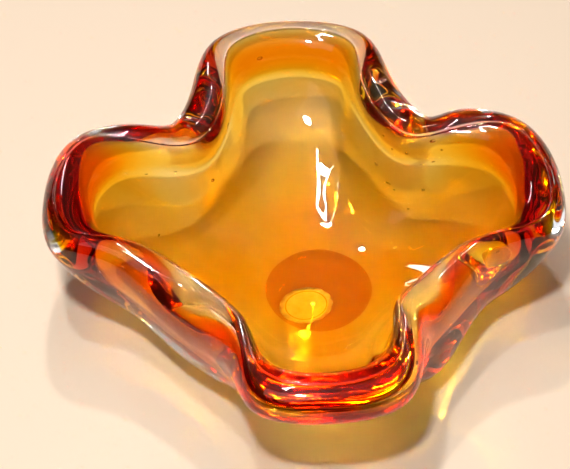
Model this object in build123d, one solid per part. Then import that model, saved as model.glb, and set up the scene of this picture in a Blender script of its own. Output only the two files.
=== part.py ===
from build123d import *
import math
import os
from collections import namedtuple

# Hot-worked, cased glass bowl with four lobes. A thick clear gather surrounds an amber
# one; the rim was pressed inward at four places while soft, which left four lobes.
# Origin: centre of the ground base ring on the table plane. +Z up, +Y to the back lobe.
# Millimetres.

os.makedirs("parts", exist_ok=True)

# ---- base ----
BASE_RING_RADIUS = 48.0      # outer edge of the flat ground ring
RECESS_RADIUS = 24.0         # polished pontil recess at its mouth
RECESS_DEPTH = 2.6
FLOOR_DISC_RADIUS = 12.0     # level middle of the inside floor
AMBER_DISC_RADIUS = 16.0     # level middle of the amber layer's underside

# ---- rim ----
RIM_CENTRE = (-6.7, 1.1)     # the worked rim sits a little off the base ring
RIM_ROLL_HEIGHT = 11.0       # crest above the widest line of the rounded rim
LOBE_THICKNESS = 22.0        # rounded rim at a lobe's tip

# Lobe: azimuth of its axis, reach from the rim's centre, outside half widths clockwise and
# counter-clockwise of the axis, inside half width, crest height, how full it is under its
# flanks, how upright its wall is under the tip (0 flared, 1 upright), and the amber's share
# of the rounded rim's thickness at the tip.
LOBES = [
    (7.5, 110.5, 38.5, 48.0, 28.0, 70.0, 0.60, 0.60, 0.68),     # right
    (94.5, 110.0, 46.0, 46.5, 27.5, 69.5, 0.30, 0.15, 0.50),    # back
    (177.0, 110.5, 42.5, 40.0, 25.0, 70.0, 0.60, 0.60, 0.74),   # left
    (277.0, 108.0, 42.0, 42.0, 29.5, 70.0, 0.15, 0.00, 0.55),   # front
]
# Pinch after each lobe: azimuth, outside and inside distance from the rim's centre, crest
# height, and the radius of the round lower body under it.
PINCHES = [
    (47.0, 79.0, 56.0, 63.5, 69.0),
    (139.0, 79.0, 55.0, 63.5, 72.0),
    (226.5, 77.0, 54.0, 64.0, 75.5),
    (319.0, 78.0, 56.5, 64.0, 77.0),
]
LOBE_END_ANGLES = (-90.0, -45.0, 0.0, 45.0, 90.0)   # stations round a lobe's rounded end
LOBE_SHARE = {0.0: 1.0, 45.0: 0.93, 90.0: 0.18}     # how fully a station follows the lobe's outline
CREST_SHARE = {0.0: 1.0, 45.0: 0.98, 90.0: 0.75}    # and how nearly its crest is as high as the lobe's
AMBER_LOBE_SHARE = {0.0: 1.0, 45.0: 0.75, 90.0: 0.0}    # and its amber as thick as the lobe's
AMBER_SHARE_AT_PINCH = 0.20
OUTER_END_LENGTH = 0.88      # outside rounding, length to half width
END_SQUARENESS = 0.82        # 1 rounds a lobe's end as an ellipse, less squares it off

# Wall outlines as (share of the way from the base or floor out to the rim, height), for a wall
# whose widest line stands at the reference height. The outside has a flared lobe, an upright lobe,
# a pinch, and how far the wall has left the round lower body for the pressed rim; the inside and
# the amber's underside have a lobe and a pinch. Shares above 1 undercut the rounded rim.
REFERENCE_HEIGHT = {"lobe": 59.0, "pinch": 52.5}
OUTER_WALL = [
    ((0.00, 0.0), (0.00, 0.0), (0.00, 0.0), 0.0),
    ((0.15, 3.6), (0.16, 3.6), (0.31, 3.6), 0.0),
    ((0.35, 12.0), (0.43, 11.0), (0.67, 11.0), 0.1),
    ((0.58, 26.0), (0.71, 23.0), (0.91, 22.0), 0.3),
    ((0.77, 40.0), (0.885, 36.0), (0.98, 33.0), 0.6),
    ((0.91, 50.5), (0.965, 48.0), (0.99, 44.0), 0.9),
]
INNER_WALL = [
    ((0.00, 16.0), (0.00, 16.0)),
    ((0.08, 16.15), (0.10, 16.15)),
    ((0.22, 17.0), (0.27, 16.9)),
    ((0.42, 20.8), (0.56, 19.5)),
    ((0.62, 27.2), (0.80, 25.5)),
    ((0.80, 35.0), (0.92, 33.0)),
    ((0.92, 42.2), (0.98, 39.5)),
    ((0.985, 47.2), (1.018, 43.0)),
    ((1.013, 49.8), (1.035, 45.0)),
    ((1.018, 52.0), (1.030, 47.0)),
    ((1.007, 55.3), (1.010, 49.8)),
]
AMBER_UNDERSIDE = [
    ((0.00, 12.5), (0.00, 12.5)),
    ((0.08, 12.65), (0.10, 12.65)),
    ((0.22, 13.9), (0.25, 13.4)),
    ((0.44, 20.6), (0.52, 17.0)),
    ((0.61, 28.2), (0.74, 22.3)),
    ((0.76, 36.6), (0.87, 28.5)),
    ((0.86, 43.2), (0.93, 35.0)),
    ((0.93, 49.2), (0.97, 40.6)),
    ((0.98, 54.5), (0.99, 46.3)),
]
ROLL_ANGLES = (0, 30, 60, 90, 120, 150, 180)    # round the rim, from its outermost line over the crest
AMBER_LIP_RISES = (0.0, 6.0, 12.0)              # rings of the amber's outer face above the widest line
LIP_TOP = 84.0                                  # height of the plane that closes it, above the glass
AMBER_SEAM_STATION = 12                         # half way round from the envelope's seam

# ---- label ----
LABEL_SIZE = (24.5, 20.0)
LABEL_CENTRE = (-5.8, -8.9)
LABEL_THICKNESS = 0.16
LABEL_SCALLOPS = 13
LABEL_SCALLOP_DEPTH = 0.9
LABEL_TURN = 20.0            # degrees about +Z

Station = namedtuple("Station", "share upright crest outer inner body azimuth amber_share")


def polar(radius, azimuth_deg):
    a = math.radians(azimuth_deg)
    return (radius * math.cos(a), radius * math.sin(a))


def between(a, b, share):
    return tuple(p + share * (q - p) for p, q in zip(a, b))


def azimuth_of(point):
    return math.degrees(math.atan2(point[1], point[0]))


def lobe_end_point(azimuth, reach, half_width, length, angle):
    """A point on the rounded end of a lobe."""
    c, d = math.cos(math.radians(angle)), math.sin(math.radians(angle))
    along = reach - length + length * c**END_SQUARENESS
    aside = half_width * math.copysign(abs(d) ** END_SQUARENESS, d)
    ax, ay = polar(1.0, azimuth)
    return (along * ax - aside * ay + RIM_CENTRE[0], along * ay + aside * ax + RIM_CENTRE[1])


def lobe_station(lobe, pinch, angle):
    azimuth, reach, half_cw, half_ccw, inner_half, lobe_crest, fullness, upright, amber = lobe
    pinch_crest, body_radius = pinch[3:]
    outer_length = OUTER_END_LENGTH * (half_cw + half_ccw) / 2
    outer = lobe_end_point(azimuth, reach, half_cw if angle < 0 else half_ccw, outer_length, angle)
    inner = lobe_end_point(azimuth, reach - LOBE_THICKNESS, inner_half, inner_half, angle)
    share = LOBE_SHARE[abs(angle)]
    body = between(polar(body_radius, azimuth_of(outer)), outer, fullness if abs(angle) == 90 else share)
    crest = pinch_crest + CREST_SHARE[abs(angle)] * (lobe_crest - pinch_crest)
    amber_share = AMBER_SHARE_AT_PINCH + AMBER_LOBE_SHARE[abs(angle)] * (amber - AMBER_SHARE_AT_PINCH)
    return Station(share, upright, crest, outer, inner, body, azimuth_of(outer), amber_share)


def pinch_station(pinch):
    azimuth, outside, inside, crest, body_radius = pinch
    outer, inner = (
        tuple(p + c for p, c in zip(polar(radius, azimuth), RIM_CENTRE)) for radius in (outside, inside)
    )
    body = polar(body_radius, azimuth_of(outer))
    return Station(0.0, 0.0, crest, outer, inner, body, azimuth_of(outer), AMBER_SHARE_AT_PINCH)


def make_stations():
    """Stations counter-clockwise round the bowl: five round each lobe's end, then the pinch after it."""
    stations = []
    for i, lobe in enumerate(LOBES):
        for angle in LOBE_END_ANGLES:
            stations.append(lobe_station(lobe, PINCHES[i if angle > 0 else i - 1], angle))
        stations.append(pinch_station(PINCHES[i]))
    return stations


STATIONS = make_stations()


def wall_point(station, lobe_outline, pinch_outline, start_radius, target):
    """A wall point at a station, on the way from a circle of the start radius out to the target."""
    along, height = between(pinch_outline, lobe_outline, station.share)
    reference = REFERENCE_HEIGHT["pinch"] * (1 - station.share) + REFERENCE_HEIGHT["lobe"] * station.share
    stretch = 1 + along**2 * ((station.crest - RIM_ROLL_HEIGHT) / reference - 1)
    start = polar(start_radius, station.azimuth)
    return (*between(start, target, along), height * stretch)


def outer_ring(row):
    flared, upright, pinch_outline, lean = row
    ring = []
    for s in STATIONS:
        lobe_outline = between(flared, upright, s.upright)
        target = between(s.body, s.outer, lean)
        ring.append(wall_point(s, lobe_outline, pinch_outline, BASE_RING_RADIUS, target))
    return ring


def inner_ring(row):
    return [wall_point(s, *row, FLOOR_DISC_RADIUS, s.inner) for s in STATIONS]


def amber_lip(station):
    """Plan point where the amber layer's outer face rises through the rounded rim."""
    return between(station.inner, station.outer, station.amber_share)


def amber_ring(row):
    return [wall_point(s, *row, AMBER_DISC_RADIUS, amber_lip(s)) for s in STATIONS]


def lip_ring(rise):
    """The amber's outer face inside the rounded rim, a rise above the rim's widest line."""
    return [(*amber_lip(s), s.crest - RIM_ROLL_HEIGHT + rise) for s in STATIONS]


def roll_ring(angle):
    """One ring of the rounded rim: 0 is its outermost line, 90 the crest, 180 the innermost."""
    t = math.radians(angle)
    ring = []
    for s in STATIONS:
        x, y = between(s.inner, s.outer, (1 + math.cos(t)) / 2)
        ring.append((x, y, s.crest - RIM_ROLL_HEIGHT + RIM_ROLL_HEIGHT * math.sin(t)))
    return ring


# Even steps round a lobe's end, shorter ones into and out of each pinch.
STEPS = [1.0, 1.0, 1.0, 1.0, 0.7, 0.7] * 4
PARAMETERS = [sum(STEPS[:i]) for i in range(len(STEPS) + 1)]


def ring_wire(points):
    return Wire([Edge.make_spline([Vector(*p) for p in points], periodic=True, parameters=PARAMETERS)])


def lofted(rings, start=0):
    """Solid through the rings; start is the station where its seam runs."""
    return Solid.make_loft([ring_wire(ring[start:] + ring[:start]) for ring in rings])


# ---- whole glass envelope: outside wall, rounded rim, inside wall ----
outer_rings = [outer_ring(row) for row in OUTER_WALL]
roll_rings = [roll_ring(angle) for angle in ROLL_ANGLES]
inner_rings = [inner_ring(row) for row in reversed(INNER_WALL)]
envelope = lofted(outer_rings + roll_rings + inner_rings)

# ---- everything above and inside the amber's outer face ----
amber_rings = [amber_ring(row) for row in AMBER_UNDERSIDE]
amber_lip_rings = [lip_ring(rise) for rise in AMBER_LIP_RISES]
amber_top_ring = [(*amber_lip(s), LIP_TOP) for s in STATIONS]
amber_side = lofted(amber_rings + amber_lip_rings + [amber_top_ring], AMBER_SEAM_STATION)

# ---- pontil recess: a shallow spherical hollow ----
recess_sphere_radius = (RECESS_RADIUS**2 + RECESS_DEPTH**2) / (2 * RECESS_DEPTH)
recess_ball = Pos(0, 0, RECESS_DEPTH - recess_sphere_radius) * Sphere(recess_sphere_radius)

amber_glass_layer = envelope & amber_side
clear_glass_casing = envelope - amber_side - recess_ball


# ---- paper label stuck to the recess, its outline a row of scallops round an oval ----
def oval_point(step, bulge=0.0):
    t = 2 * math.pi * step / LABEL_SCALLOPS
    return ((LABEL_SIZE[0] / 2 + bulge) * math.cos(t), (LABEL_SIZE[1] / 2 + bulge) * math.sin(t))


def scallop(i):
    start, end = oval_point(i, -LABEL_SCALLOP_DEPTH), oval_point(i + 1, -LABEL_SCALLOP_DEPTH)
    return ThreePointArc(start, oval_point(i + 0.5), end)


label_face = make_face(Wire([scallop(i) for i in range(LABEL_SCALLOPS)]))
label_prism = Pos(*LABEL_CENTRE, 0) * Rot(0, 0, LABEL_TURN) * extrude(label_face, 2 * RECESS_DEPTH)
base_label = (label_prism & recess_ball) - Pos(0, 0, -LABEL_THICKNESS) * recess_ball

NODES = {
    "amber_glass_layer": amber_glass_layer,
    "clear_glass_casing": clear_glass_casing,
    "base_label": base_label,
}
for name, node in NODES.items():
    node.label = name
    export_step(node, f"parts/{name}.step")
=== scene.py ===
import math
import random
from collections import namedtuple

import bpy
import numpy as np
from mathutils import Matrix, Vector
from mathutils.bvhtree import BVHTree


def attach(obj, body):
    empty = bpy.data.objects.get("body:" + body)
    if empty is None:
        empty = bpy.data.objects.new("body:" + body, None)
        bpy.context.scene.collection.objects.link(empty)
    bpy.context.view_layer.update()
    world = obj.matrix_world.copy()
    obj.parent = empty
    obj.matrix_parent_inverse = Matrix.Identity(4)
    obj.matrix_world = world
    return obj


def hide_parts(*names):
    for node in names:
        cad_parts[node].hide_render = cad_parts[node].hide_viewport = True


# Cased art glass bowl: an amber gather inside a clear one, four pressed lobes, a label in the pontil.
# The outline numbers are the CAD model's, in millimetres; everything is made in metres.

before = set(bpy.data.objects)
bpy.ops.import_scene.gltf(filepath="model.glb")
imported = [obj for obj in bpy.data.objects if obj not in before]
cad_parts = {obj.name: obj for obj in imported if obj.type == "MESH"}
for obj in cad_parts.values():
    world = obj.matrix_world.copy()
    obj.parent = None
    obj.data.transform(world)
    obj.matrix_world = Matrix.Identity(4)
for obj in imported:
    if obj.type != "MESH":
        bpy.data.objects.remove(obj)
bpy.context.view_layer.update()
MM = 0.001

# ---------------------------------------------------------------- outline, as in the CAD
BASE_RING_RADIUS = 48.0
RECESS_RADIUS = 24.0
RECESS_DEPTH = 2.6
FLOOR_DISC_RADIUS = 12.0
AMBER_DISC_RADIUS = 16.0
RIM_CENTRE = np.array((-6.7, 1.1))
RIM_ROLL_HEIGHT = 11.0
LOBE_THICKNESS = 22.0
LOBES = [
    (7.5, 110.5, 38.5, 48.0, 28.0, 70.0, 0.60, 0.60, 0.68),
    (94.5, 110.0, 46.0, 46.5, 27.5, 69.5, 0.30, 0.15, 0.50),
    (177.0, 110.5, 42.5, 40.0, 25.0, 70.0, 0.60, 0.60, 0.74),
    (277.0, 108.0, 42.0, 42.0, 29.5, 70.0, 0.15, 0.00, 0.55),
]
PINCHES = [
    (47.0, 79.0, 56.0, 63.5, 69.0),
    (139.0, 79.0, 55.0, 63.5, 72.0),
    (226.5, 77.0, 54.0, 64.0, 75.5),
    (319.0, 78.0, 56.5, 64.0, 77.0),
]
LOBE_END_ANGLES = (-90.0, -45.0, 0.0, 45.0, 90.0)
LOBE_SHARE = {0.0: 1.0, 45.0: 0.93, 90.0: 0.18}
CREST_SHARE = {0.0: 1.0, 45.0: 0.98, 90.0: 0.75}
AMBER_LOBE_SHARE = {0.0: 1.0, 45.0: 0.75, 90.0: 0.0}
AMBER_SHARE_AT_PINCH = 0.20
OUTER_END_LENGTH = 0.88
END_SQUARENESS = 0.82
REFERENCE_HEIGHT = {"lobe": 59.0, "pinch": 52.5}
OUTER_WALL = [
    ((0.00, 0.0), (0.00, 0.0), (0.00, 0.0), 0.0),
    ((0.15, 3.6), (0.16, 3.6), (0.31, 3.6), 0.0),
    ((0.35, 12.0), (0.43, 11.0), (0.67, 11.0), 0.1),
    ((0.58, 26.0), (0.71, 23.0), (0.91, 22.0), 0.3),
    ((0.77, 40.0), (0.885, 36.0), (0.98, 33.0), 0.6),
    ((0.91, 50.5), (0.965, 48.0), (0.99, 44.0), 0.9),
]
INNER_WALL = [
    ((0.00, 16.0), (0.00, 16.0)),
    ((0.08, 16.15), (0.10, 16.15)),
    ((0.22, 17.0), (0.27, 16.9)),
    ((0.42, 20.8), (0.56, 19.5)),
    ((0.62, 27.2), (0.80, 25.5)),
    ((0.80, 35.0), (0.92, 33.0)),
    ((0.92, 42.2), (0.98, 39.5)),
    ((0.985, 47.2), (1.018, 43.0)),
    ((1.013, 49.8), (1.035, 45.0)),
    ((1.018, 52.0), (1.030, 47.0)),
    ((1.007, 55.3), (1.010, 49.8)),
]
AMBER_UNDERSIDE = [
    ((0.00, 12.5), (0.00, 12.5)),
    ((0.08, 12.65), (0.10, 12.65)),
    ((0.22, 13.9), (0.25, 13.4)),
    ((0.44, 20.6), (0.52, 17.0)),
    ((0.61, 28.2), (0.74, 22.3)),
    ((0.76, 36.6), (0.87, 28.5)),
    ((0.86, 43.2), (0.93, 35.0)),
    ((0.93, 49.2), (0.97, 40.6)),
    ((0.98, 54.5), (0.99, 46.3)),
]
LABEL_SIZE = (24.5, 20.0)
LABEL_CENTRE = (-5.8, -8.9)
LABEL_THICKNESS = 0.16
LABEL_SCALLOPS = 13
LABEL_SCALLOP_DEPTH = 0.9
LABEL_TURN = 20.0
# Spline parameter from each station to the next.
STATION_STEPS = np.array([1.0, 1.0, 1.0, 1.0, 0.7, 0.7] * 4)

# ---------------------------------------------------------------- what only the visual model has
ROUND_STEPS = 432           # mesh columns round the bowl
WALL_STEP = 1.3             # and the height of its bands
LAYER_GAP = 0.03            # between the two layers' faces
TOOLING_DEPTH = 0.35        # unevenness of the worked wall
TOOLING_RADII = (56.0, 72.0)        # it grows between these radii
TOOLING_HEIGHTS = (4.0, 18.0)       # and these heights
BUBBLE_SEED = 20
BUBBLE_RADII = (0.3, 0.75)
BUBBLE_DRAW = (1.0, 2.2)    # how far they are drawn out
BUBBLE_CROWDING = 11        # spread of a crowd of bubbles, in mesh columns
BUBBLE_SIDES = 12
BUBBLE_TIERS = 8
AMBER_BUBBLES = 26
AMBER_BUBBLE_DEPTHS = (1.2, 3.5)
AMBER_BUBBLE_BANDS = (2, 14)        # bands inward of the lip
AMBER_BUBBLES_NEAR_PINCH = 0.7
CLEAR_BUBBLES = 45
CLEAR_BUBBLE_DEPTHS = (1.5, 4.5)
CLEAR_BUBBLE_BANDS = (14, 8)        # the first band from the base, and the last before the lip
CLEAR_BUBBLES_NEAR_PINCH = 0.8
GLASS_IOR = 1.5
AMBER_COLOUR = (0.982, 0.83, 0.0)
AMBER_DENSITY = 680.0       # per metre
# A warmer, darker tint for the pontil recess, outside the label
RECESS_DARK_TINT = (0.80, 0.45, 0.45, 1)
GROUND_HEIGHT = 0.02        # below this the glass is the ground ring

Station = namedtuple("Station", "share upright crest outer inner body azimuth amber_share")


def polar(radius, azimuth_deg):
    a = math.radians(azimuth_deg)
    return np.array((radius * math.cos(a), radius * math.sin(a)))


def between(a, b, share):
    return a + share * (b - a)


def azimuth_of(point):
    return math.degrees(math.atan2(point[1], point[0]))


def lobe_end_point(azimuth, reach, half_width, length, angle):
    """A point on the rounded end of a lobe."""
    c, d = math.cos(math.radians(angle)), math.sin(math.radians(angle))
    along = reach - length + length * max(c, 0.0) ** END_SQUARENESS
    aside = half_width * math.copysign(abs(d) ** END_SQUARENESS, d)
    ax, ay = polar(1.0, azimuth)
    return np.array((along * ax - aside * ay, along * ay + aside * ax)) + RIM_CENTRE


def lobe_station(lobe, pinch, angle):
    azimuth, reach, half_cw, half_ccw, inner_half, lobe_crest, fullness, upright, amber = lobe
    pinch_crest, body_radius = pinch[3:]
    outer_length = OUTER_END_LENGTH * (half_cw + half_ccw) / 2
    half = half_cw if angle < 0 else half_ccw
    outer = lobe_end_point(azimuth, reach, half, outer_length, angle)
    inner = lobe_end_point(azimuth, reach - LOBE_THICKNESS, inner_half, inner_half, angle)
    share = LOBE_SHARE[abs(angle)]
    body_share = fullness if abs(angle) == 90 else share
    body = between(polar(body_radius, azimuth_of(outer)), outer, body_share)
    crest = between(pinch_crest, lobe_crest, CREST_SHARE[abs(angle)])
    amber_share = between(AMBER_SHARE_AT_PINCH, amber, AMBER_LOBE_SHARE[abs(angle)])
    return Station(share, upright, crest, outer, inner, body, azimuth_of(outer), amber_share)


def pinch_station(pinch):
    azimuth, outside, inside, crest, body_radius = pinch
    outer, inner = polar(outside, azimuth) + RIM_CENTRE, polar(inside, azimuth) + RIM_CENTRE
    body = polar(body_radius, azimuth_of(outer))
    return Station(0.0, 0.0, crest, outer, inner, body, azimuth_of(outer), AMBER_SHARE_AT_PINCH)


def make_stations():
    """Counter-clockwise: five stations round each lobe's end, then the pinch after it."""
    stations = []
    for i, lobe in enumerate(LOBES):
        for angle in LOBE_END_ANGLES:
            stations.append(lobe_station(lobe, PINCHES[i if angle > 0 else i - 1], angle))
        stations.append(pinch_station(PINCHES[i]))
    return stations


STATIONS = make_stations()


def wall_point(station, lobe_outline, pinch_outline, start_radius, target):
    """A wall point at a station, on the way from a circle of the start radius out to the target."""
    along, height = between(np.array(pinch_outline), lobe_outline, station.share)
    reference = between(REFERENCE_HEIGHT["pinch"], REFERENCE_HEIGHT["lobe"], station.share)
    stretch = 1 + along**2 * ((station.crest - RIM_ROLL_HEIGHT) / reference - 1)
    return (*between(polar(start_radius, station.azimuth), target, along), height * stretch)


def outer_ring(row):
    flared, upright, pinch_outline, lean = np.array(row[0]), np.array(row[1]), row[2], row[3]
    ring = []
    for s in STATIONS:
        lobe_outline, target = between(flared, upright, s.upright), between(s.body, s.outer, lean)
        ring.append(wall_point(s, lobe_outline, pinch_outline, BASE_RING_RADIUS, target))
    return np.array(ring)


def inner_ring(row):
    lobe, pinch = np.array(row[0]), row[1]
    return np.array([wall_point(s, lobe, pinch, FLOOR_DISC_RADIUS, s.inner) for s in STATIONS])


def amber_lip(station):
    """Plan point where the amber layer's outer face rises through the rounded rim."""
    return between(station.inner, station.outer, station.amber_share)


def amber_ring(row):
    lobe, pinch = np.array(row[0]), row[1]
    return np.array([wall_point(s, lobe, pinch, AMBER_DISC_RADIUS, amber_lip(s)) for s in STATIONS])


def lip_angle(station):
    """Where the amber's outer face meets the rim: 0 is the rim's outermost line, pi its innermost."""
    return math.acos(2 * station.amber_share - 1)


def roll_ring(part, inner_side):
    """The rounded rim: its outermost line to the amber's lip, or from there to its innermost line."""
    ring = []
    for s in STATIONS:
        lip = lip_angle(s)
        t = lip + part * (math.pi - lip) if inner_side else part * lip
        place = between(s.inner, s.outer, (1 + math.cos(t)) / 2)
        ring.append((*place, s.crest + RIM_ROLL_HEIGHT * (math.sin(t) - 1)))
    return np.array(ring)


def lip_ring(part):
    """The amber's outer face inside the rim: 0 is level with the widest line, 1 is the lip."""
    ring = []
    for s in STATIONS:
        rise = part * math.sin(lip_angle(s))
        ring.append((*amber_lip(s), s.crest + RIM_ROLL_HEIGHT * (rise - 1)))
    return np.array(ring)


# ---------------------------------------------------------------- splines
def hermite(points, slopes, knots, at, wrap):
    """Piecewise cubic through points at knots, with the given slopes, along the first axis."""
    widths = np.diff(knots)
    i = np.clip(np.searchsorted(knots, at, side="right") - 1, 0, len(widths) - 1)
    shape = (-1,) + (1,) * (points.ndim - 1)
    s, h = ((at - knots[i]) / widths[i]).reshape(shape), widths[i].reshape(shape)
    j = (i + 1) % len(points) if wrap else i + 1
    a, b, da, db = points[i], points[j], slopes[i], slopes[j]
    start, leave = 2 * s**3 - 3 * s**2 + 1, s**3 - 2 * s**2 + s
    finish, arrive = 3 * s**2 - 2 * s**3, s**3 - s**2
    return start * a + leave * h * da + finish * b + arrive * h * db


def closed_spline(points, steps, at):
    """Smooth closed curve through points; steps are the parameter steps from each to the next."""
    n = len(points)
    system, right = np.zeros((n, n)), np.zeros_like(points)
    for i in range(n):
        before, after, h0, h1 = i - 1, (i + 1) % n, steps[i - 1], steps[i]
        system[i, before] += h1
        system[i, i] += 2 * (h0 + h1)
        system[i, after] += h0
        last_step, next_step = points[i] - points[before], points[after] - points[i]
        right[i] = 3 * (h1 * last_step / h0 + h0 * next_step / h1)
    slopes = np.linalg.solve(system, right.reshape(n, -1)).reshape(points.shape)
    return hermite(points, slopes, np.concatenate([[0.0], np.cumsum(steps)]), at, True)


def open_spline(points, knots, at):
    """Smooth open curve through points at knots, straight at both ends."""
    n, steps = len(points), np.diff(knots)
    system, right = np.zeros((n, n)), np.zeros_like(points)
    for i in range(1, n - 1):
        h0, h1 = steps[i - 1], steps[i]
        system[i, i - 1:i + 2] = h1, 2 * (h0 + h1), h0
        last_step, next_step = points[i] - points[i - 1], points[i + 1] - points[i]
        right[i] = 3 * (h1 * last_step / h0 + h0 * next_step / h1)
    system[0, :2] = 2, 1
    system[-1, -2:] = 1, 2
    right[0] = 3 * (points[1] - points[0]) / steps[0]
    right[-1] = 3 * (points[-1] - points[-2]) / steps[-1]
    slopes = np.linalg.solve(system, right.reshape(n, -1)).reshape(points.shape)
    return hermite(points, slopes, knots, at, False)


def skin(rings, breaks):
    """Dense rings through the given ones, and where each ring numbered in breaks now is."""
    around = np.arange(ROUND_STEPS) * STATION_STEPS.sum() / ROUND_STEPS
    rings = np.array(rings)
    chords = np.linalg.norm(np.diff(rings, axis=0), axis=2).mean(1)
    knots = np.concatenate([[0.0], np.cumsum(chords)])
    dense = closed_spline(np.swapaxes(rings, 0, 1), STATION_STEPS, around)
    at, places = [], []
    for low, high in zip(breaks[:-1], breaks[1:]):
        count = max(2, int(round((knots[high] - knots[low]) / WALL_STEP)))
        places.append(len(at))
        at += list(np.linspace(knots[low], knots[high], count, endpoint=False))
    places.append(len(at))
    at.append(knots[breaks[-1]])
    return open_spline(np.swapaxes(dense, 0, 1), knots, np.array(at)), places


# ---------------------------------------------------------------- the two glass surfaces
ROLL_PARTS = np.linspace(0, 1, 7)
outer_rings = [outer_ring(row) for row in OUTER_WALL]
inner_rings = [inner_ring(row) for row in reversed(INNER_WALL)]
rim_rings = [roll_ring(p, False) for p in ROLL_PARTS] + [roll_ring(p, True) for p in ROLL_PARTS[1:]]
all_rings = outer_rings + rim_rings + inner_rings
lip_index = len(outer_rings) + len(ROLL_PARTS) - 1
air_side, (_, lip_place, _) = skin(all_rings, [0, lip_index, len(all_rings) - 1])


def outward_of(rings):
    """Unit normals of a run of rings, out of the glass."""
    along = np.gradient(rings, axis=0)
    ahead = np.roll(rings, -1, axis=1) - np.roll(rings, 1, axis=1)
    outward = np.cross(ahead, along)
    return outward / np.linalg.norm(outward, axis=2, keepdims=True)


def hand_worked(rings):
    """The wall with the slight unevenness of tooled glass, always inward; its base and floor stay."""
    turn = np.arctan2(rings[:, :, 1], rings[:, :, 0])
    height = rings[:, :, 2]
    wave = np.sin(5 * turn + 0.09 * height + 0.7) * np.sin(3 * turn - 0.13 * height) + 1.2
    wave += 0.5 * (np.sin(17 * turn + 0.31 * height) * np.sin(0.22 * height + 2 * turn) + 1)
    reach = np.hypot(rings[:, :, 0], rings[:, :, 1])
    share = np.interp(reach, TOOLING_RADII, (0, 1)) * np.interp(height, TOOLING_HEIGHTS, (0, 1))
    return rings - outward_of(rings) * (TOOLING_DEPTH / 3 * wave * share)[:, :, None]


air_side = hand_worked(air_side)
air_outward = outward_of(air_side)

interface_rings = [amber_ring(row) for row in AMBER_UNDERSIDE]
interface_rings += [lip_ring(0.0), lip_ring(0.5), lip_ring(1.0)]
interface, _ = skin(interface_rings, [0, len(interface_rings) - 1])
interface[-1] = air_side[lip_place]


def pulled_in(rings, distance):
    """The interface a hair nearer the amber, so that the two layers' faces don't coincide.

    Its lip stays.
    """
    share = np.minimum(1.0, np.arange(len(rings))[::-1] / 4.0)[:, None, None]
    return rings - outward_of(rings) * distance * share


def flat_rings(ring, shares, height):
    """Rings inside a flat disc's edge ring, ending near its middle."""
    middle = np.array((*ring[:, :2].mean(0), 0.0))
    made = []
    for share in shares:
        inside = between(middle, ring, share)
        inside[:, 2] = height
        made.append(inside)
    return made


def recess_height(radius):
    sphere = (RECESS_RADIUS**2 + RECESS_DEPTH**2) / (2 * RECESS_DEPTH)
    return RECESS_DEPTH - sphere + np.sqrt(np.maximum(sphere**2 - radius**2, 0))


turns = np.arctan2(air_side[0][:, 1], air_side[0][:, 0])


def round_ring(radius, height):
    return np.stack([radius * np.cos(turns), radius * np.sin(turns), np.full(ROUND_STEPS, height)], 1)


DISC_SHARES = (0.85, 0.68, 0.5, 0.32, 0.15)
RECESS_RADII = (3, 6, 9, 12, 14.5, 17, 19, 21, 22.5, RECESS_RADIUS - 0.1)
GROUND_RADII = (RECESS_RADIUS + 0.35, 27, 31, 35, 39, 43, 46.5)
base = [round_ring(r, float(recess_height(r))) for r in RECESS_RADII]
base += [round_ring(r, 0.0) for r in GROUND_RADII]

clear_rings = base + list(air_side[:lip_place + 1]) + list(interface[::-1][1:])
clear_rings += flat_rings(interface[0], DISC_SHARES, interface[0][:, 2].mean())
clear_air_rings = len(base) + lip_place
amber_interface = pulled_in(interface, LAYER_GAP)
amber_rings = flat_rings(amber_interface[0], DISC_SHARES, amber_interface[0][:, 2].mean())[::-1]
amber_rings += list(amber_interface) + list(air_side[lip_place + 1:])
amber_rings += flat_rings(air_side[-1], DISC_SHARES, air_side[-1][:, 2].mean())
amber_interface_rings = len(DISC_SHARES) + len(interface) - 1


def closed_mesh(rings, meets_air):
    """Points, faces and whether each face meets air, of rings with a fan at each end."""
    count, n = len(rings), ROUND_STEPS
    points = list(np.concatenate(rings)) + [rings[0].mean(0), rings[-1].mean(0)]
    after = np.roll(np.arange(n), -1)
    faces, air = [], []
    for band in range(count - 1):
        low, high = band * n, (band + 1) * n
        faces += [(low + i, low + j, high + j, high + i) for i, j in enumerate(after)]
        air += [meets_air(band)] * n
    first, last, top = count * n, count * n + 1, (count - 1) * n
    faces += [(first, j, i) for i, j in enumerate(after)]
    air += [meets_air(-1)] * n
    faces += [(last, top + i, top + j) for i, j in enumerate(after)]
    air += [meets_air(count)] * n
    return points, faces, air


# ---------------------------------------------------------------- bubbles
def column_of(station):
    """The mesh column at a station."""
    return int(round(STATION_STEPS[:station].sum() / STATION_STEPS.sum() * ROUND_STEPS))


PINCH_COLUMNS = [column_of(i) for i, s in enumerate(STATIONS) if s.share == 0]


def bubble_spots(rng, count, rows, depths, near_pinch):
    """Centre and axes of small drawn-out bubbles under the wall; some crowd near the pinches."""
    spots = []
    for _ in range(count):
        if rng.random() < near_pinch:
            column = int(rng.gauss(rng.choice(PINCH_COLUMNS), BUBBLE_CROWDING)) % ROUND_STEPS
        else:
            column = rng.randrange(ROUND_STEPS)
        row = rng.randrange(*rows)
        radius = rng.uniform(*BUBBLE_RADII)
        normal = Vector(air_outward[row, column])
        ahead = Vector(air_side[row, (column + 1) % ROUND_STEPS] - air_side[row, column]).normalized()
        centre = Vector(air_side[row, column]) - normal * rng.uniform(*depths)
        drawn = rng.uniform(*BUBBLE_DRAW)
        spots.append((centre, ahead * radius * drawn, normal * radius, normal.cross(ahead) * radius))
    return spots


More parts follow.
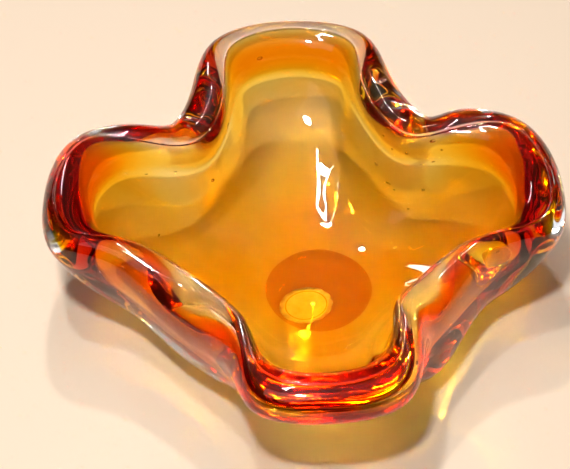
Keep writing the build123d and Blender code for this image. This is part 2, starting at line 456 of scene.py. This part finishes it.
def bubble_mesh(centre, a, b, c):
    """A closed cavity with its poles along b, its faces turned out of the glass."""
    points, faces = [tuple(centre + b)], []
    for tier in range(1, BUBBLE_TIERS):
        up, out = math.cos(math.pi * tier / BUBBLE_TIERS), math.sin(math.pi * tier / BUBBLE_TIERS)
        for step in range(BUBBLE_SIDES):
            turn = 2 * math.pi * step / BUBBLE_SIDES
            points.append(tuple(centre + b * up + (a * math.cos(turn) + c * math.sin(turn)) * out))
    points.append(tuple(centre - b))
    last = len(points) - 1
    for i in range(BUBBLE_SIDES):
        j = (i + 1) % BUBBLE_SIDES
        faces.append((0, 1 + j, 1 + i))
        for tier in range(BUBBLE_TIERS - 2):
            low = 1 + tier * BUBBLE_SIDES
            faces.append((low + i, low + j, low + BUBBLE_SIDES + j, low + BUBBLE_SIDES + i))
        low = last - BUBBLE_SIDES
        faces.append((last, low + i, low + j))
    return points, faces


def add_bubbles(points, faces, air, spots):
    """Add the bubbles that lie wholly inside the closed mesh, and leave out the rest."""
    shell = BVHTree.FromPolygons([tuple(p) for p in points], faces)
    for spot in spots:
        wall, outward, _, _ = shell.find_nearest(spot[0])
        cavity, made = bubble_mesh(*spot)
        if (spot[0] - wall).dot(outward) > 0 or shell.overlap(BVHTree.FromPolygons(cavity, made)):
            continue
        first = len(points)
        points += cavity
        faces += [tuple(first + corner for corner in face) for face in made]
        air += [True] * len(made)


# ---------------------------------------------------------------- materials
def new_material(name):
    material = bpy.data.materials.new(name)
    material.use_nodes = True
    nodes = material.node_tree.nodes
    return material, nodes["Principled BSDF"], nodes["Material Output"]


def node(tree, kind, sockets=None, **settings):
    """A shader node of a kind, with its settings, and a value or a link for each socket given."""
    made = tree.nodes.new("ShaderNode" + kind)
    for key, value in settings.items():
        setattr(made, key, value)
    for socket, value in (sockets or {}).items():
        if isinstance(value, bpy.types.NodeSocket):
            tree.links.new(value, made.inputs[socket])
        else:
            made.inputs[socket].default_value = value
    return made


def maths(tree, operation, a, b=0.0):
    return node(tree, "Math", {0: a, 1: b}, operation=operation).outputs["Value"]


def mixed(tree, share, a, b):
    return node(tree, "Mix", {0: share, 6: a, 7: b}, data_type="RGBA").outputs[2]


def noise(tree, place, scale, detail=2.0, roughness=0.5):
    sockets = {"Vector": place, "Scale": scale, "Detail": detail, "Roughness": roughness}
    return node(tree, "TexNoise", sockets).outputs["Fac"]


def ramped(tree, value, low, high, top=1.0):
    """A value's place between low and high, from 0 to top."""
    sockets = {"Value": value, "From Min": low, "From Max": high, "To Min": 0.0, "To Max": top}
    return node(tree, "MapRange", sockets).outputs["Result"]


def reach_of(tree, centre, size, turn=0.0):
    """How far out in plan a point is from a centre, as a share of an oval's half size."""
    sockets = {
        "Vector": node(tree, "TexCoord").outputs["Object"],
        "Location": (*(np.array(centre) * MM), 0),
        "Rotation": (0, 0, math.radians(turn)),
        "Scale": (size[0] / 2 * MM, size[1] / 2 * MM, 1000),
    }
    oval = node(tree, "Mapping", sockets, vector_type="TEXTURE")
    return node(tree, "VectorMath", {0: oval.outputs["Vector"]}, operation="LENGTH").outputs["Value"]


def glass_material(name):
    """Fire-polished glass: faint smears and dust that catch the light, none where two layers meet."""
    material, shader, output = new_material(name)
    tree = material.node_tree
    place = node(tree, "TexCoord").outputs["Object"]
    shader.inputs["Transmission Weight"].default_value = 1.0
    shader.inputs["Roughness"].default_value = 0.0
    shader.inputs["Coat Roughness"].default_value = 0.28
    index = node(tree, "Attribute", attribute_name="glass_ior").outputs["Fac"]
    tree.links.new(index, shader.inputs["IOR"])
    outside = maths(tree, "SUBTRACT", 1.0, node(tree, "NewGeometry").outputs["Backfacing"])
    on_air = maths(tree, "MULTIPLY", maths(tree, "GREATER_THAN", index, 1.25), outside)
    smears = ramped(tree, noise(tree, place, 34.0, 4.0, 0.6), 0.42, 0.68, 0.08)
    dust = ramped(tree, noise(tree, place, 700.0, 1.0), 0.77, 0.81, 0.6)
    film = maths(tree, "MAXIMUM", smears, dust)
    tree.links.new(maths(tree, "MULTIPLY", film, on_air), shader.inputs["Coat Weight"])
    return material, tree, shader, output


def amber_glass():
    material, tree, shader, output = glass_material("amber_glass")
    shader.inputs["Base Color"].default_value = (1, 1, 1, 1)
    volume = node(tree, "VolumeAbsorption", {"Color": (*AMBER_COLOUR, 1), "Density": AMBER_DENSITY})
    tree.links.new(volume.outputs["Volume"], output.inputs["Volume"])
    return material


def clear_glass():
    """Colourless, but for a warmer, darker tint over the polished recess, left off where the label
    lies.

    The ground ring round it is scuffed.
    """
    material, tree, shader, _ = glass_material("clear_glass")
    place = node(tree, "TexCoord").outputs["Object"]
    height = node(tree, "SeparateXYZ", {0: place}).outputs["Z"]
    from_middle = reach_of(tree, (0, 0), (2 * RECESS_RADIUS, 2 * RECESS_RADIUS))
    inside = maths(tree, "LESS_THAN", from_middle, 1.0)
    under = maths(tree, "LESS_THAN", height, (RECESS_DEPTH + 1) * MM)
    bare = maths(tree, "GREATER_THAN", reach_of(tree, LABEL_CENTRE, LABEL_SIZE, LABEL_TURN), 1.0)
    # The recess is tinted warmer and darker, except where the label lies
    darkened_recess = maths(tree, "MULTIPLY", maths(tree, "MULTIPLY", inside, under), bare)
    colour = mixed(tree, darkened_recess, (1, 1, 1, 1), RECESS_DARK_TINT)
    tree.links.new(colour, shader.inputs["Base Color"])
    ground = maths(tree, "LESS_THAN", height, GROUND_HEIGHT * MM)
    scuffs = ramped(tree, noise(tree, place, 160.0, 3.0, 0.6), 0.35, 0.75, 0.18)
    tree.links.new(maths(tree, "MULTIPLY", ground, scuffs), shader.inputs["Roughness"])
    return material


def label_paper():
    """Aged coated paper: a pale foil edge, a darker line inside it, and blotches."""
    material, shader, _ = new_material("label_paper")
    tree = material.node_tree
    place = node(tree, "TexCoord").outputs["Object"]
    out = reach_of(tree, LABEL_CENTRE, LABEL_SIZE, LABEL_TURN)
    blotches = ramped(tree, noise(tree, place, 260.0, 5.0, 0.65), 0.35, 0.7)
    paper = mixed(tree, blotches, (0.98, 0.95, 0.78, 1), (0.88, 0.78, 0.52, 1))
    edge = ramped(tree, out, 0.80, 0.84)
    line = maths(tree, "MULTIPLY", ramped(tree, out, 0.74, 0.76), ramped(tree, out, 0.80, 0.78))
    lined = mixed(tree, line, paper, (0.55, 0.42, 0.2, 1))
    colour = mixed(tree, edge, lined, (1.0, 0.96, 0.82, 1))
    tree.links.new(colour, shader.inputs["Base Color"])
    tree.links.new(ramped(tree, edge, 0.0, 1.0, 0.15), shader.inputs["Metallic"])
    grain = noise(tree, place, 2600.0, 3.0)
    tree.links.new(ramped(tree, grain, 0.0, 1.0, 0.7), shader.inputs["Roughness"])
    bump = node(tree, "Bump", {"Height": grain, "Strength": 0.3, "Distance": 0.00005})
    tree.links.new(bump.outputs["Normal"], shader.inputs["Normal"])
    return material


# ---------------------------------------------------------------- glass pieces
def solid_object(name, points, faces, material):
    mesh = bpy.data.meshes.new(name)
    mesh.from_pydata([tuple(p) for p in np.array(points) * MM], [], faces)
    mesh.polygons.foreach_set("use_smooth", [True] * len(mesh.polygons))
    mesh.materials.append(material)
    mesh.update()
    made = bpy.data.objects.new(name, mesh)
    bpy.context.scene.collection.objects.link(made)
    return made


def glass_object(name, rings, meets_air, bubbles, material):
    points, faces, air = closed_mesh(rings, meets_air)
    add_bubbles(points, faces, air, bubbles)
    made = solid_object(name, points, faces, material)
    index = made.data.attributes.new("glass_ior", "FLOAT", "FACE")
    index.data.foreach_set("value", [GLASS_IOR if meets else 1.0 for meets in air])
    return made


rng = random.Random(BUBBLE_SEED)
amber_bands = [lip_place + band for band in AMBER_BUBBLE_BANDS]
clear_bands = [CLEAR_BUBBLE_BANDS[0], lip_place - CLEAR_BUBBLE_BANDS[1]]
amber_bubbles = bubble_spots(
    rng, AMBER_BUBBLES, amber_bands, AMBER_BUBBLE_DEPTHS, AMBER_BUBBLES_NEAR_PINCH
)
clear_bubbles = bubble_spots(
    rng, CLEAR_BUBBLES, clear_bands, CLEAR_BUBBLE_DEPTHS, CLEAR_BUBBLES_NEAR_PINCH
)


def clear_meets_air(band):
    return band < clear_air_rings


def amber_meets_air(band):
    return band >= amber_interface_rings


clear_casing = glass_object(
    "clear_casing", clear_rings, clear_meets_air, clear_bubbles, clear_glass()
)
amber_layer = glass_object(
    "amber_layer", amber_rings, amber_meets_air, amber_bubbles, amber_glass()
)

# ---------------------------------------------------------------- label
LABEL_SHARES = (0.02, 0.2, 0.4, 0.6, 0.8, 1.0)
LABEL_GAP = 0.03
LABEL_STEPS = LABEL_SCALLOPS * 12
angles = np.linspace(0, 2 * np.pi, LABEL_STEPS, endpoint=False)
bulge = -LABEL_SCALLOP_DEPTH * (1 - np.abs(np.sin(angles * LABEL_SCALLOPS / 2)))
c, s = polar(1.0, LABEL_TURN)
tiers = [(share, LABEL_GAP) for share in LABEL_SHARES]
tiers += [(share, LABEL_THICKNESS) for share in reversed(LABEL_SHARES)]
points = []
for share, drop in tiers:
    x = share * (LABEL_SIZE[0] / 2 + bulge) * np.cos(angles)
    y = share * (LABEL_SIZE[1] / 2 + bulge) * np.sin(angles)
    x, y = x * c - y * s + LABEL_CENTRE[0], x * s + y * c + LABEL_CENTRE[1]
    points += list(np.stack([x, y, recess_height(np.hypot(x, y)) - drop], 1))
faces = []
for band in range(len(tiers) - 1):
    low, high = band * LABEL_STEPS, (band + 1) * LABEL_STEPS
    for i in range(LABEL_STEPS):
        j = (i + 1) % LABEL_STEPS
        faces.append((low + i, high + i, high + j, low + j))
top = (len(tiers) - 1) * LABEL_STEPS
faces += [tuple(range(LABEL_STEPS)), tuple(range(top + LABEL_STEPS - 1, top - 1, -1))]
paper_label = solid_object("paper_label", points, faces, label_paper())

PIECES = [
    (clear_casing, "clear_glass_casing", "clear_glass"),
    (amber_layer, "amber_glass_layer", "amber_glass"),
    (paper_label, "base_label", "label_paper"),
]
for piece, stands_for, slot in PIECES:
    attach(piece, "root")
    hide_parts(stands_for)

# ---------------------------------------------------------------- floor, light, camera
FLOOR_REACH = 3.0
FLOOR_DROP = 0.00008        # so that the floor and the ground ring don't coincide
FLOOR_COLOUR = (0.775, 0.60, 0.425, 1)
corners = [(-1, -1), (1, -1), (1, 1), (-1, 1)]
mesh = bpy.data.meshes.new("floor")
points = [(FLOOR_REACH * x, FLOOR_REACH * y, -FLOOR_DROP) for x, y in corners]
mesh.from_pydata(points, [], [(0, 1, 2, 3)])
floor = bpy.data.objects.new("floor", mesh)
bpy.context.scene.collection.objects.link(floor)
floor_material, shader, _ = new_material("floor_pale")
shader.inputs["Base Color"].default_value = FLOOR_COLOUR
shader.inputs["Roughness"].default_value = 0.7
mesh.materials.append(floor_material)


def soft_light(name, place, aim, width, height, watts, turn=0.0):
    data = bpy.data.lights.new(name, "AREA")
    data.shape = "RECTANGLE"
    data.size, data.size_y = width, height
    data.energy = watts
    data.color = COOL_WHITE
    made = bpy.data.objects.new(name, data)
    made.location = place
    made.rotation_euler = (Vector(aim) - Vector(place)).to_track_quat("-Z", "Y").to_euler()
    made.rotation_euler.rotate_axis("Z", math.radians(turn))
    bpy.context.scene.collection.objects.link(made)


COOL_WHITE = (0.94, 0.95, 1.0)
# A narrow overhead tube, bent so that the bowl's floor mirrors it as one upright streak.
STREAK_PATH = [(-0.22, -0.22), (-0.14, 0.08), (-0.096, 0.217), (-0.09, 0.55)]
STREAK_HEIGHT = 1.3
STREAK_WIDTH = 0.015
STREAK_WATTS = 4.0          # per metre
LIGHTS = [                  # name, place, aim, width, height, watts
    ("key", (-0.12, -0.50, 1.25), (0.0, 0.0, 0.0), 0.08, 0.08, 11.6),
    ("lamp_over", (-0.214, -0.10, 1.3), (0.0, 0.0, 0.0), 0.06, 0.06, 4.3),
    ("lamp_back", (-0.09, 0.555, 1.3), (0.0, 0.0, 0.0), 0.06, 0.06, 4.8),
    ("fill", (-0.5, -0.9, 1.5), (0.0, 0.0, 0.03), 0.9, 0.9, 2),
    ("window", (-0.9, 1.3, 1.0), (0.0, 0.0, 0.05), 0.06, 0.6, 2.5),
]
for settings in LIGHTS:
    soft_light(*settings)
for (ax, ay), (bx, by) in zip(STREAK_PATH[:-1], STREAK_PATH[1:]):
    length = math.hypot(bx - ax, by - ay)
    middle = ((ax + bx) / 2, (ay + by) / 2)
    turn = math.degrees(math.atan2(ax - bx, by - ay))
    watts = STREAK_WATTS * length
    soft_light("streak", (*middle, STREAK_HEIGHT), (*middle, 0.0), STREAK_WIDTH, length, watts, turn)

world = bpy.data.worlds.new("studio")
bpy.context.scene.world = world
world.use_nodes = True
tree = world.node_tree
upward = node(tree, "SeparateXYZ", {0: node(tree, "TexCoord").outputs["Generated"]}).outputs["Z"]
sky = node(tree, "ValToRGB", {"Fac": upward})
stops = sky.color_ramp.elements
stops[0].position, stops[0].color = 0.05, (0.03, 0.028, 0.025, 1)
stops[1].position, stops[1].color = 0.95, (1.0, 0.98, 0.95, 1)
for position, grey in ((0.5, 0.05), (0.8, 0.22)):
    stops.new(position).color = (grey, 0.97 * grey, 0.93 * grey, 1)
background = tree.nodes["Background"]
tree.links.new(sky.outputs["Color"], background.inputs["Color"])
background.inputs["Strength"].default_value = 0.27

CAMERA_PLACE = Vector((-6.7, -602.89, 769.18)) * MM
CAMERA_AIM = Vector((-14.75, -7.63, 54.68)) * MM
camera_data = bpy.data.cameras.new("camera")
camera_data.sensor_width = 36.0
camera_data.lens = 140.2
camera = bpy.data.objects.new("camera", camera_data)
camera.location = CAMERA_PLACE
camera.rotation_euler = (CAMERA_AIM - CAMERA_PLACE).to_track_quat("-Z", "Y").to_euler()
bpy.context.scene.collection.objects.link(camera)
bpy.context.scene.camera = camera

scene = bpy.context.scene
scene.view_settings.view_transform = "Standard"
scene.cycles.max_bounces = 40
scene.cycles.transmission_bounces = 40
scene.cycles.glossy_bounces = 16
scene.cycles.transparent_max_bounces = 40
scene.cycles.sample_clamp_indirect = 0.0
scene.cycles.blur_glossy = 0.0
